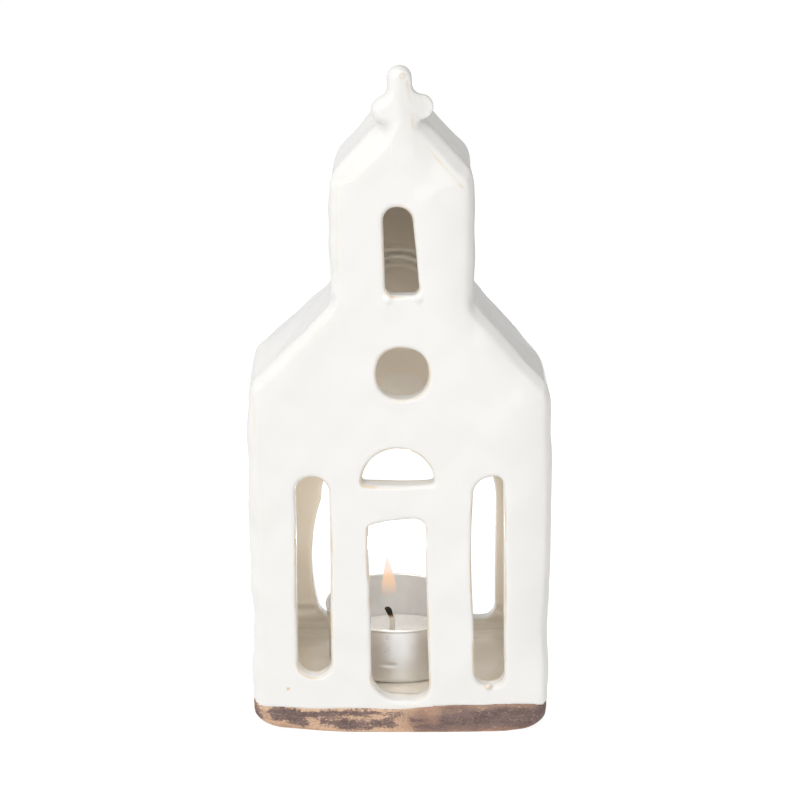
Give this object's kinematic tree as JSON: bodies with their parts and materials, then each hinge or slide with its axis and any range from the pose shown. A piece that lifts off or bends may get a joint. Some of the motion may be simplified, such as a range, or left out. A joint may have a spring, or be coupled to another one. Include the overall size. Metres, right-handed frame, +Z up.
{
  "type": "tealight house",
  "caption": "Small white glazed stoneware chapel with bell tower, door, windows and rear arch on a bare clay foot, holding a tealight that lifts out at the back.",
  "frame": {"origin": "on the table under the middle of the foot", "axes": "+X to the right as seen from the front, +Y to the back, +Z up through the tower"},
  "size_m": [0.0754, 0.0588, 0.1687],
  "materials": {
    "white_glaze": "glossy warm white glaze, tan where it thins on edges",
    "foot_clay": "unglazed stoneware with a rubbed dark stain",
    "cup_aluminium": "satin pressed foil",
    "wax": "translucent paraffin wax",
    "sustainer_steel": "tinned pressed steel",
    "wick_cotton": "braided cotton, burnt black at the tip"
  },
  "bodies": {
    "house": {"base_slab": "foot_clay", "front_wall": "white_glaze", "back_wall": "white_glaze", "left_wall": "white_glaze", "right_wall": "white_glaze", "left_roof": "white_glaze", "right_roof": "white_glaze", "tower_left_wall": "white_glaze", "tower_right_wall": "white_glaze", "tower_left_roof": "white_glaze", "tower_right_roof": "white_glaze", "cross": "white_glaze"},
    "tealight": {"tealight_cup": "cup_aluminium", "wax": "wax", "wick_sustainer": "sustainer_steel", "wick": "wick_cotton"}
  },
  "joints": [
    {"name": "tealight_lift_out", "type": "slide", "parent": "house", "child": "tealight", "axis": [0, 0.8192, 0.5736], "range_m": [0, 0.075]}
  ]
}
